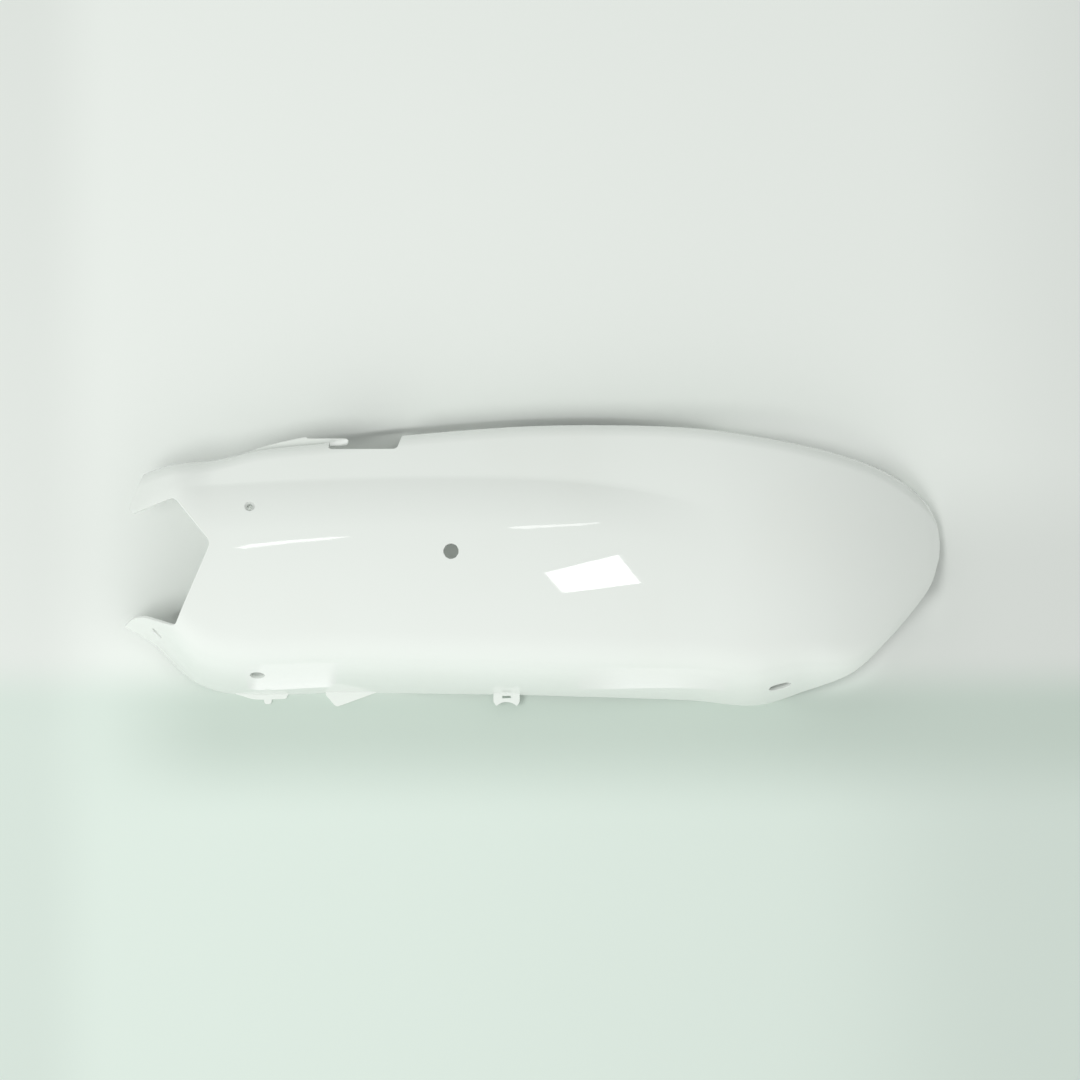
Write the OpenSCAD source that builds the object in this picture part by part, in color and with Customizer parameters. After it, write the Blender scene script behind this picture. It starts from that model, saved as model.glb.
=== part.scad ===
// Left rear side panel of a scooter, moulded in one piece with its tabs and bosses.
// It lies on its rim with the outer face up: front at -X, tail at +X, seat side at +Y.
// The face is one smooth height function over a plan of paired edge points. The shell is
// that face and its own offset by the wall, so every size below reshapes both sides.

/* [Panel] */
// Length of the outline, nose to tail
panel_length = 680; // [600:1:760]
// Height of the outline, lower edge to seat edge
panel_height = 234; // [200:1:270]
// Crown of the face above the floor
crown_height = 88; // [80:1:100]
// Wall of the moulding
wall = 2.8; // [2:0.1:3.6]
// Radius of the gentle bow of the face across its height
face_radius = 420; // [360:5:700]

/* [Ends] */
// Height of the face above the floor at the tail tip
tail_height = 6.5; // [5:0.5:16]
// Length of the curved tail
tail_reach = 189; // [150:1:230]
// Height of the face above the floor at the nose
nose_height = 46; // [38:1:66]
// Length of the curved nose
nose_reach = 56; // [40:1:80]
// Slope of the folded corner on the upper horn
fold_slope = 0.3; // [0:0.02:0.5]

/* [Edges] */
// Plan width of the lower edge where it rolls under
low_roll = 57; // [40:1:70]
// Radius of the seat edge
seat_radius = 10; // [6:0.5:14]
// Outward flare of the seat wall down to its rim
seat_flare = 0.9; // [0:0.1:2]
// Depth of the seat wall at the nose and at the tail
end_wall = 14; // [8:1:20]
// Height of the relief arch in the two long rims
rim_relief = 7; // [0:0.5:12]
// Height of the lower rim at the tip of the lower horn
horn_lift = 12; // [4:1:20]
// Depth of the small roll along the cut tail edge
tail_lip = 3; // [1:0.5:6]

/* [Crease] */
// Step from the shoulder down to the upper band
crease_step = 8; // [4:0.5:12]
// Width of the rounded shoulder below the crease
shoulder_width = 40; // [28:1:50]
// Crease above the middle line at its highest point
crease_rise = 73; // [66:1:78]

/* [Front cut-out] */
// Apex of the V behind the horn tips
vee_depth = 77; // [60:1:90]
// Opening of the V between its two throats
vee_opening = 106; // [90:1:112]
// Radius of the apex
vee_radius = 7; // [3:0.5:12]
// Arch along the top of the lower horn
horn_arch = 12; // [6:0.5:14]

/* [Seat edge] */
// Length of the notch along its floor
notch_length = 55; // [40:1:60]
// Depth of the notch below the seat edge at its middle
notch_depth = 8.5; // [6:0.5:12]
// Reach of the tongue past the seat edge
tongue_reach = 6.2; // [4:0.2:9]
// Thickness of the tongue
tongue_thick = 3; // [2:0.2:4]
// Length of the tongue that stands in the notch
tongue_tip = 16; // [10:1:24]

/* [Lower tabs] */
// Length of the fin tab at its root
fin_length = 48; // [36:1:60]
// Reach of the fin tab past the lower edge
fin_reach = 11; // [7:0.5:14]
// Thickness of the fin tab and the nub
tab_thick = 3; // [2:0.2:4]
// Width of the nub
nub_width = 6; // [4:0.5:10]
// Reach of the nub past the lower edge
nub_reach = 7; // [5:0.5:10]
// Length of the lip on both sides of the nub
lip_length = 46; // [30:1:50]
// Reach of the lip past the lower edge
lip_reach = 3.2; // [1:0.2:4.4]
// Width of the clip bracket
clip_width = 22; // [16:1:28]
// Reach of the clip bracket past the lower edge
clip_reach = 9.5; // [7:0.5:12]
// Thickness of the clip bracket
clip_thick = 4; // [3:0.5:6]
// Length of the slot in the clip bracket
clip_slot = 7; // [4:0.5:10]

/* [Holes] */
// Bore of the middle fixing hole
middle_bore = 12.6; // [8:0.1:14]
// Length of the middle bore through wall and boss
middle_length = 8; // [6:0.5:14]
// Bore of the lower front fixing hole
front_bore = 12.6; // [8:0.1:14]
// Length of the lower front bore through wall and boss
front_length = 7; // [6:0.5:10]
// Bore of the small screw hole on the shoulder
screw_bore = 5.2; // [4:0.1:6]
// Length of the small screw bore through wall and boss
screw_length = 7; // [6:0.5:12]
// Diameter of the countersink at the small screw hole
screw_sink = 8.6; // [6.5:0.1:10]
// Length of the oval hole at the lower rear corner
oval_length = 19; // [14:0.5:24]
// Width of the oval hole
oval_width = 12.6; // [8:0.1:14]
// Length of the oval hole through wall and boss
oval_depth = 6; // [4:0.5:10]
// Length of the slot in the lower horn
horn_slot = 11; // [8:0.5:14]
// Width of the slot in the lower horn
horn_slot_width = 7; // [4:0.2:8]
// Wall of the bosses around the bores
boss_wall = 4; // [2.5:0.1:6]

/* [Ribs] */
// Thickness of the gussets under the seat edge
gusset_thick = 2; // [1.2:0.1:3]
// Reach of a gusset in from the seat wall
gusset_reach = 30; // [20:1:40]
// Number of gussets behind the notch
gusset_count = 5; // [2:1:7]

/* [Hidden] */
$fn = 48;
kx = panel_length / 678.7;
ky = panel_height / 234;
centre_shift = 0.54 * kx;
tail_x = 339 * kx;
nose_x = -341 * kx;
tail_start = tail_x - tail_reach;
nose_start = nose_x + nose_reach;
crown_y = -25 * ky;
corner_x = 186 * kx;
panel_white = [0.93, 0.94, 0.93];
notch_x = -168 * kx;
fin_x = -165 * kx;
nub_x = -221 * kx;
clip_x = -22 * kx;
sink_depth = (screw_sink - screw_bore) / 2;

// Small lengths: soft start of the fold, tail skin above its lip, round corners, tool clearance
fold_soft = 10;
tail_skin = 2.6;
horn_round = 4;
throat_round = 5;
arch_round = 20;
notch_round = 4;
notch_lean = 16;
tongue_round = 3.1;
tongue_drop = 12;
tongue_root = 2;
tab_round = 2;
tool_gap = 8;

// Plan points of the holes
middle_at = [-67 * kx, 12.5 * ky];
front_at = [-227 * kx, -90.5 * ky];
screw_at = [-232 * kx, 49.5 * ky];
oval_at = [204 * kx, -100 * ky];
horn_at = [-310.5 * kx, -55.5 * ky];

// Paired points of the two long edges from nose to tail: seat edge x, y, lower edge x, y
edges = [
    [-340, 70, -349, -46], [-300, 83.5, -316, -65], [-262, 88, -280, -98], [-222, 97, -237, -108.2],
    [-168, 102.6, -168, -106.2], [-90, 110.3, -90, -106.8], [-11, 116.2, -11, -107.8],
    [60, 117.4, 60, -109.8], [130, 115, 130, -112.4], [190, 107, 186, -116.6],
    [238, 97, 228, -103.5], [276, 85.5, 264, -88],
    [304.6, 72, 291, -63], [325, 56, 314, -38], [336, 38, 330.5, -16], [338.8, 22, 338, 6]
];
steps = 4;
last = (len(edges) - 1) * steps;

// Rise from 0 at a to 1 at b with level ends
function ease(a, b, x) = let (t = max(0, min(1, (x - a) / (b - a)))) t * t * (3 - 2 * t);
// Ramp that starts softly over the length s and goes on at slope 1
function ramp(d, s) = d < 0 ? 0 : d < s ? d * d / (2 * s) : d - s / 2;
function mix(a, b, t) = a + (b - a) * t;

// Smooth curve through a list of vectors, at position u counted in list steps
function along(list, u) =
    let (n = len(list) - 1, i = max(0, min(n - 1, floor(u))), t = u - i,
         b = list[i], c = list[i + 1],
         a = i > 0 ? list[i - 1] : 2 * b - c,
         d = i < n - 1 ? list[i + 2] : 2 * c - b)
    b + 0.5 * t * ((c - a) + t * (2 * a - 5 * b + 4 * c - d + t * (3 * (b - c) + d - a)));

// Lower edge point, seat edge point
function low_at(u) = let (e = along(edges, u)) [e[2] * kx, e[3] * ky];
function seat_at(u) = let (e = along(edges, u)) [e[0] * kx, e[1] * ky];

// Height of the crown surface, before crease and edges are taken off
function crown(p) =
    crown_height
    - (crown_height - tail_height - tail_skin) * pow(max(0, (p.x - tail_start) / tail_reach), 2.4)
    - (crown_height - nose_height) * pow(max(0, (nose_start - p.x) / nose_reach), 2.2)
    - fold_slope * ramp(((p.y - 69 * ky) * 44 - (p.x + 270 * kx) * 23) / 49.6, fold_soft)
    - pow(p.y - crown_y, 2) / (2 * face_radius);

// Line of the crease over the length, and how deep it is there
function crease_y(x) =
    let (a = x / kx + 60)
    (crease_rise - (a > 0 ? pow(a / 60.5, 2.6) : a * a / 6420)) * ky;
function crease_depth(x) =
    crease_step * ease(-296 * kx, -262 * kx, x) * (1 - ease(40 * kx, 165 * kx, x));

// Rim heights: the long rims arch between their feet, the tail edge is cut high
function low_rim(x) =
    rim_relief * pow(sin(180 * max(0, min(1, (x / kx + 150) / 330))), 2)
    + horn_lift * ease(-245, -335, x / kx);
function seat_rim(x) = rim_relief * pow(sin(180 * max(0, min(1, (x / kx + 60) / 200))), 2);

// One cross-section: lower point, direction, width, crease, lower roll and its drop
function station(u) =
    let (low = low_at(u), seat = seat_at(u), w = norm(seat - low), d = (seat - low) / w,
         k = min(1, w / (110 * ky)),
         crease = max(0.68 * w, (crease_y(low.x + d.x * 0.8 * w) - low.y) / d.y),
         cut = ease(corner_x + 10 * kx, corner_x + 112 * kx, low.x),
         drop = mix(crown(low) - low_rim(low.x), min(tail_lip * k, crown(low) - 1), cut))
    [low, d, w, k, crease, low_roll * mix(1, 0.35, cut) * k, drop];

// Height of the outer face at distance q from the lower edge of a station
function face_z(s, q) =
    let (p = s[0] + s[1] * q, a = max(0, 1 - q / s[5]), shoulder = shoulder_width * s[3],
         b = max(0, min(1, (q - s[4] + shoulder) / shoulder)))
    crown(p) - s[6] * pow(a, 3) - crease_depth(p.x) * b * b;

// Steps of q: lower roll, face, shoulder, upper band
low_steps = 9;
face_steps = 5;
shoulder_steps = 6;
band_steps = 3;
seat_steps = 5;
wall_steps = 2;
function edge_radius(s) = max(seat_radius * s[3], wall + 0.8);
function seat_start(s) = s[2] - edge_radius(s) - seat_flare * s[3];
function face_stops(s) =
    let (shoulder = s[4] - shoulder_width * s[3])
    [
        for (i = [0:low_steps]) s[5] * pow(i / low_steps, 1.5),
        for (i = [1:face_steps]) mix(s[5], shoulder, i / face_steps),
        for (i = [1:shoulder_steps]) mix(shoulder, s[4], i / shoulder_steps),
        for (i = [1:band_steps]) mix(s[4], seat_start(s), i / band_steps)
    ];

// Outer points of one cross-section, lower rim to seat rim
function section(u) =
    let (s = station(u), r = edge_radius(s), q0 = seat_start(s),
         edge = s[0] + s[1] * s[2],
         z1 = face_z(s, q0 + r) - r,
         mid = ease(-240 * kx, -130 * kx, edge.x) * (1 - ease(150 * kx, 290 * kx, edge.x)),
         foot = mix(max(0.3, z1 - end_wall * s[3]), seat_rim(edge.x), mid))
    [
        for (q = face_stops(s)) [s[0].x + s[1].x * q, s[0].y + s[1].y * q, face_z(s, q)],
        for (i = [1:seat_steps])
            let (a = 90 * i / seat_steps, q = q0 + r * sin(a))
            [s[0].x + s[1].x * q, s[0].y + s[1].y * q, face_z(s, q) - r * (1 - cos(a))],
        for (i = [1:wall_steps])
            let (t = i / wall_steps, q = q0 + r + seat_flare * s[3] * t)
            [s[0].x + s[1].x * q, s[0].y + s[1].y * q, mix(z1, foot, t)]
    ];

outer = [for (i = [0:last]) section(i / steps)];
across = len(outer[0]);

function unit(v) = v / norm(v);
function normal_at(i, j) =
    unit(cross(
        outer[min(last, i + 1)][j] - outer[max(0, i - 1)][j],
        outer[i][min(across - 1, j + 1)] - outer[i][max(0, j - 1)]));
function inner_at(i, j) = let (p = outer[i][j] - wall * normal_at(i, j)) [p.x, p.y, max(0, p.z)];
inner = [for (i = [0:last]) [for (j = [0:across - 1]) inner_at(i, j)]];

// Closed surface between the outer and the inner grid
module shell() {
    n = (last + 1) * across;
    function at(i, j, k) = k * n + i * across + j;
    points = [for (g = [outer, inner]) for (row = g) for (p = row) p];
    faces = [
        for (i = [0:last - 1]) for (j = [0:across - 2]) each [
            [at(i, j, 0), at(i, j + 1, 0), at(i + 1, j, 0)],
            [at(i + 1, j, 0), at(i, j + 1, 0), at(i + 1, j + 1, 0)],
            [at(i, j, 1), at(i + 1, j, 1), at(i, j + 1, 1)],
            [at(i + 1, j, 1), at(i + 1, j + 1, 1), at(i, j + 1, 1)]
        ],
        for (i = [0:last - 1]) each [
            [at(i, 0, 0), at(i + 1, 0, 0), at(i, 0, 1)],
            [at(i + 1, 0, 0), at(i + 1, 0, 1), at(i, 0, 1)],
            [at(i, across - 1, 0), at(i, across - 1, 1), at(i + 1, across - 1, 0)],
            [at(i + 1, across - 1, 0), at(i, across - 1, 1), at(i + 1, across - 1, 1)]
        ],
        for (j = [0:across - 2]) each [
            [at(0, j, 0), at(0, j, 1), at(0, j + 1, 0)],
            [at(0, j + 1, 0), at(0, j, 1), at(0, j + 1, 1)],
            [at(last, j, 0), at(last, j + 1, 0), at(last, j, 1)],
            [at(last, j + 1, 0), at(last, j + 1, 1), at(last, j, 1)]
        ]
    ];
    polyhedron(points, faces);
}

// Position along the edges whose cross-section passes through the plan point p
function side(u, p) = let (a = low_at(u), d = seat_at(u) - a) d.x * (p.y - a.y) - d.y * (p.x - a.x);
function find_u(p, a, b, n) =
    n == 0 ? (a + b) / 2
    : let (m = (a + b) / 2) side(m, p) < 0 ? find_u(p, m, b, n - 1) : find_u(p, a, m, n - 1);
// Point of the outer face above the plan point p, and its outward normal there
function face_at(p) =
    let (s = station(find_u(p, 0, len(edges) - 1, 22)), q = (p - s[0]) * s[1])
    [p.x, p.y, face_z(s, q)];
function face_normal(p) =
    unit(cross(face_at(p + [1, 0]) - face_at(p - [1, 0]), face_at(p + [0, 1]) - face_at(p - [0, 1])));

// Seat edge and lower edge as heights over x
function seat_u(x, a, b, n) =
    n == 0 ? (a + b) / 2
    : let (m = (a + b) / 2) seat_at(m).x < x ? seat_u(x, m, b, n - 1) : seat_u(x, a, m, n - 1);
function low_u(x, a, b, n) =
    n == 0 ? (a + b) / 2
    : let (m = (a + b) / 2) low_at(m).x < x ? low_u(x, m, b, n - 1) : low_u(x, a, m, n - 1);
function seat_y(x) = seat_at(seat_u(x, 0, len(edges) - 1, 20)).y;
function low_y(x) = low_at(low_u(x, 0, len(edges) - 1, 20)).y;

// Corner list [x, y, radius] turned into a path with round corners
function rounded(pts) =
    let (n = len(pts))
    [
        for (i = [0:n - 1])
            let (c = pts[i], p = [c.x, c.y],
                 a = pts[(i + n - 1) % n], b = pts[(i + 1) % n],
                 u = unit([a.x, a.y] - p), v = unit([b.x, b.y] - p), r = c[2])
            each r <= 0 ? [p]
            : let (half = acos(u * v) / 2, m = unit(u + v), o = p + m * r / sin(half),
                   turn = u.x * v.y - u.y * v.x > 0 ? -1 : 1,
                   k = max(2, ceil((180 - 2 * half) / 15)))
              [for (t = [0:k])
                  let (w = (2 * t / k - 1) * (90 - half) * turn)
                  o - r * [m.x * cos(w) - m.y * sin(w), m.y * cos(w) + m.x * sin(w)]]
    ];

// Puts its children on the outer face above the plan point p, their z along the normal
module on_face(p) {
    n = face_normal(p);
    translate(face_at(p)) rotate([0, acos(n.z), atan2(n.y, n.x)]) children();
}

// V between the horns, open to the front, with the round ends of both horns
module front_cut() {
    throat = vee_opening / 2 * ky;
    apex = nose_x + vee_depth * kx;
    translate([0, 0, -1])
        linear_extrude(crown_height + tool_gap)
            polygon(rounded([
                [nose_x - 40 * kx, 110 * ky, 0], [nose_x + 34 * kx, 110 * ky, 0],
                [nose_x + 4 * kx, 41 * ky, horn_round],
                [nose_x + 47 * kx, 4 * ky + throat, throat_round],
                [apex, 20 * ky, vee_radius],
                [nose_x + 47.5 * kx, 4 * ky - throat, horn_round],
                [nose_x + 13 * kx, horn_arch + 0.5 * ky - throat, arch_round],
                [nose_x - 3 * kx, -1.5 * ky - throat, 0], [nose_x - 40 * kx, -40 * ky - throat, 0]
            ]));
}

// Notch in the seat edge, its rear side leaning back
module notch_cut() {
    x0 = notch_x;
    x1 = notch_x + notch_length;
    floor_y = seat_y((x0 + x1) / 2) - notch_depth;
    top_y = floor_y + 2.5 * notch_lean;
    translate([0, 0, -1])
        linear_extrude(crown_height)
            polygon(rounded([
                [x0, top_y, 0], [x0, floor_y, notch_round / 4],
                [x1 + notch_round / 4, floor_y, notch_round], [x1 + notch_lean, top_y, 0]
            ]));
}

// Tongue below the seat edge: a lip along the edge that ends free in the notch
module tongue() {
    x0 = -246 * kx;
    step_x = -187 * kx;
    tip = notch_x + tongue_tip;
    r = tongue_round;
    mid_y = seat_y(step_x) + tongue_reach - tongue_thick * 0.47 - r;
    root = face_at([-200 * kx, seat_y(-200 * kx) - seat_radius]);
    translate([0, 0, root.z - seat_radius - tongue_drop])
        linear_extrude(tongue_thick)
            polygon([
                for (i = [0:8]) let (x = mix(x0, step_x, i / 8))
                    [x, seat_y(x) + mix(-tongue_root, tongue_reach, pow(i / 8, 0.8))],
                [step_x + tongue_root * 0.3, mid_y + r],
                for (a = [90:-20:-90]) [tip - r + r * cos(a), mid_y + r * sin(a)],
                [notch_x - 5 * tongue_root, mid_y - r - tongue_root / 2],
                for (i = [8:-1:0]) let (x = mix(x0, step_x, i / 8)) [x, seat_y(x) - 4 * tongue_root]
            ]);
}

// Fin tab and nub, flat flanges that leave the lower rim
module fin() {
    x = fin_x;
    y = low_y(x);
    linear_extrude(tab_thick)
        polygon(rounded([
            [x - fin_length * 0.17, y + wall * 0.8, 0], [x - fin_length * 0.16, y - tab_round, tab_round],
            [x + tab_round / 2, y - fin_reach - tab_round * 0.45, 2 * tab_round],
            [x + fin_length * 0.83, y + wall * 0.8, 0]
        ]));
}
module nub() {
    x = nub_x;
    y = low_y(x);
    linear_extrude(tab_thick)
        polygon(rounded([
            [x - nub_width * 0.67, y + wall * 0.8, 0], [x - nub_width / 2, y - nub_reach, nub_width * 0.37],
            [x + nub_width / 2, y - nub_reach, nub_width * 0.37], [x + nub_width * 0.67, y + wall * 0.8, 0]
        ]));
}
// Lip that carries the nub: it follows the lower edge and is cut off steeply towards the fin
module lip() {
    x0 = nub_x - lip_length * 0.6;
    x1 = nub_x + lip_length * 0.4;
    linear_extrude(tab_thick)
        polygon([
            for (i = [0:8]) let (x = mix(x0, x1, i / 8)) [x, low_y(x) + wall * 0.8],
            for (i = [8:-1:0]) let (x = mix(x0, x1 - lip_reach, i / 8))
                [x, low_y(x) - lip_reach * ease(x0 - 1, x0 + lip_length * 0.4, x)]
        ]);
}

// Clip bracket: a forked tab on the lower rim with a slot at its root
module clip() {
    x = clip_x;
    y = low_y(x);
    r = clip_width * 0.55;
    translate([x, y, low_rim(x) + 0.4])
        difference() {
            linear_extrude(clip_thick)
                polygon(rounded([
                    [-clip_width / 2, wall * 0.8, 0], [-clip_width / 2, -clip_reach * 0.6, 1.5 * tab_round],
                    [-clip_width * 0.38, -clip_reach, tab_round * 0.6],
                    [clip_width * 0.38, -clip_reach, tab_round * 0.6],
                    [clip_width / 2, -clip_reach * 0.6, 1.5 * tab_round], [clip_width / 2, wall * 0.8, 0]
                ]));
            translate([0, -clip_reach * 0.62 - r, -1]) cylinder(h = clip_thick + 2, r = r);
            translate([-clip_slot / 2, -clip_reach * 0.27, -1])
                cube([clip_slot, clip_slot * 0.26, clip_thick + 2]);
        }
}

// Boss under a bore: its outer end stays inside the wall
module boss(p, bore, length) {
    on_face(p) translate([0, 0, -length]) cylinder(h = length - wall / 2, d = bore + 2 * boss_wall);
}
module bore_cut(p, bore, length) {
    on_face(p) translate([0, 0, -length - tool_gap]) cylinder(h = length + 2 * tool_gap, d = bore);
}
// Oval along the level line of the face
module oval(length, width, depth) {
    linear_extrude(depth)
        polygon([
            for (a = [0:15:180]) [width / 2 * cos(a), (length - width) / 2 + width / 2 * sin(a)],
            for (a = [180:15:360]) [width / 2 * cos(a), (width - length) / 2 + width / 2 * sin(a)]
        ]);
}

// Gusset between the underside of the face and the seat wall
module gusset(x) {
    u = seat_u(x, 0, len(edges) - 1, 20);
    s = station(u);
    q0 = seat_start(s);
    r = edge_radius(s);
    top = face_z(s, q0 + r) - r;
    y0 = s[0].y;
    q1 = s[2] - gusset_reach;
    translate([x - gusset_thick / 2, 0, 0])
        rotate([90, 0, 90])
            linear_extrude(gusset_thick)
                polygon([
                    for (i = [0:3]) let (q = mix(q1, q0, i / 3)) [y0 + q, face_z(s, q) - wall * 0.6],
                    for (a = [22.5:22.5:90])
                        [y0 + q0 + (r - wall * 0.55) * sin(a),
                         mix(face_z(s, q0), top + r, a / 90) - r + (r - wall * 0.55) * cos(a)],
                    [y0 + q0 + r - wall * 0.5, top - gusset_reach * 0.7]
                ]);
}

// The one moulded piece
module side_panel() {
    color(panel_white)
        translate([centre_shift, 0, 0])
        difference() {
            union() {
                difference() {
                    shell();
                    notch_cut();
                }
                tongue();
                fin();
                nub();
                lip();
                clip();
                boss(middle_at, middle_bore, middle_length);
                boss(front_at, front_bore, front_length);
                boss(screw_at, screw_bore, screw_length);
                on_face(oval_at)
                    translate([0, 0, -oval_depth])
                        oval(oval_length + 2 * boss_wall, oval_width + 2 * boss_wall,
                             oval_depth - wall / 2);
                for (i = [0:gusset_count - 1]) gusset(mix(-84, 168, i / (gusset_count - 1)) * kx);
            }
            front_cut();
            bore_cut(middle_at, middle_bore, middle_length);
            bore_cut(front_at, front_bore, front_length);
            bore_cut(screw_at, screw_bore, screw_length);
            on_face(screw_at)
                translate([0, 0, -sink_depth])
                    cylinder(h = sink_depth + wall, d1 = screw_bore, d2 = screw_sink + 2 * wall);
            on_face(oval_at)
                translate([0, 0, -oval_depth - tool_gap])
                    oval(oval_length, oval_width, oval_depth + 2 * tool_gap);
            on_face(horn_at) translate([0, 0, -3 * wall]) oval(horn_slot, horn_slot_width, 6 * wall);
        }
}

side_panel();
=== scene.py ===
import math

import bpy
import numpy as np
from mathutils import Matrix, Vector
from bpy.props import FloatProperty, FloatVectorProperty, IntProperty, PointerProperty


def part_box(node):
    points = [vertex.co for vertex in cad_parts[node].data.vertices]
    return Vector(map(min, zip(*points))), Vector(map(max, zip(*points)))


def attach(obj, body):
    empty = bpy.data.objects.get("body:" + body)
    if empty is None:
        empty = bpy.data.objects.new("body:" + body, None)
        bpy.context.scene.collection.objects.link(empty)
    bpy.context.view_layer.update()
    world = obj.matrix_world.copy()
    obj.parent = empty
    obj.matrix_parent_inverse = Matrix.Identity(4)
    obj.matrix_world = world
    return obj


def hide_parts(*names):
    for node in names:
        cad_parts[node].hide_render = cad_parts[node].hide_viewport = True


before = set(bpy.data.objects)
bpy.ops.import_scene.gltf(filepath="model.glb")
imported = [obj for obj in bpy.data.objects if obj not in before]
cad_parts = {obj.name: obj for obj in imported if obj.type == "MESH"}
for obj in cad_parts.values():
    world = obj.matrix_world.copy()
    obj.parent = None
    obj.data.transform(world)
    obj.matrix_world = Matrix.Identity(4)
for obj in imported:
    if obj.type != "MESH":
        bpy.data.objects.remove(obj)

bl_info = {
    "name": "Scooter side panel",
    "version": (1, 0, 0),
    "blender": (4, 5, 0),
    "location": "View3D > Sidebar > Side panel",
    "description": "Finishes the packed solid of a moulded scooter side panel and sets it on a pale floor",
    "category": "Add Mesh",
}

NODE = "side_panel"
LOWEST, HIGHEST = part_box(NODE)
LAMP_WHITE = (0.985, 1, 0.985)


# Curves and distances that several pieces use

def ease(a, b, x):
    """Rises from 0 at a to 1 at b with level ends: t squared times (3 - 2 t)."""
    t = np.clip((x - a) / (b - a), 0, 1)
    return t * t * (3 - 2 * t)


def unit(v):
    """Each vector divided by its own length."""
    return v / np.maximum(np.linalg.norm(v, axis=-1, keepdims=True), 1e-12)


def along(start, way, q):
    """X and Y at the distance q from start."""
    return start[..., 0] + way[..., 0] * q, start[..., 1] + way[..., 1] * q


def rounded(corners):
    """Corner list (x, y, radius) as a path: each corner becomes an arc that touches both its sides."""
    path, n = [], len(corners)
    for i, (x, y, r) in enumerate(corners):
        p = np.array([x, y], float)
        if r <= 0:
            path.append(p[None])
            continue
        a, b = (unit(np.array(corners[j % n][:2], float) - p) for j in (i - 1, i + 1))
        half, m = math.acos(float(a @ b)) / 2, unit(a + b)
        turn = -1 if a[0] * b[1] - a[1] * b[0] > 0 else 1
        w = np.linspace(-1, 1, 13) * (math.pi / 2 - half) * turn
        ring = np.stack([m[0] * np.cos(w) - m[1] * np.sin(w), m[1] * np.cos(w) + m[0] * np.sin(w)], 1)
        path.append(p + m * r / math.sin(half) - r * ring)
    return np.concatenate(path)


def outline_distance(points, path):
    """Distance from each plan point to a closed path, negative inside it: the least distance to
    any side, signed by how often a ray towards +X crosses the sides."""
    x, y = points[..., 0, None], points[..., 1, None]
    a, b = path, np.roll(path, -1, 0)
    d = b - a
    t = np.clip(((x - a[:, 0]) * d[:, 0] + (y - a[:, 1]) * d[:, 1]) / np.maximum((d**2).sum(1), 1e-12), 0, 1)
    far = np.hypot(x - a[:, 0] - t * d[:, 0], y - a[:, 1] - t * d[:, 1]).min(-1)
    straddles = (a[:, 1] > y) != (b[:, 1] > y)
    with np.errstate(divide="ignore", invalid="ignore"):
        cross_x = a[:, 0] + (y - a[:, 1]) * d[:, 0] / d[:, 1]
    inside = (straddles & (x < cross_x)).sum(-1) % 2 == 1
    return np.where(inside, -far, far)


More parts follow.
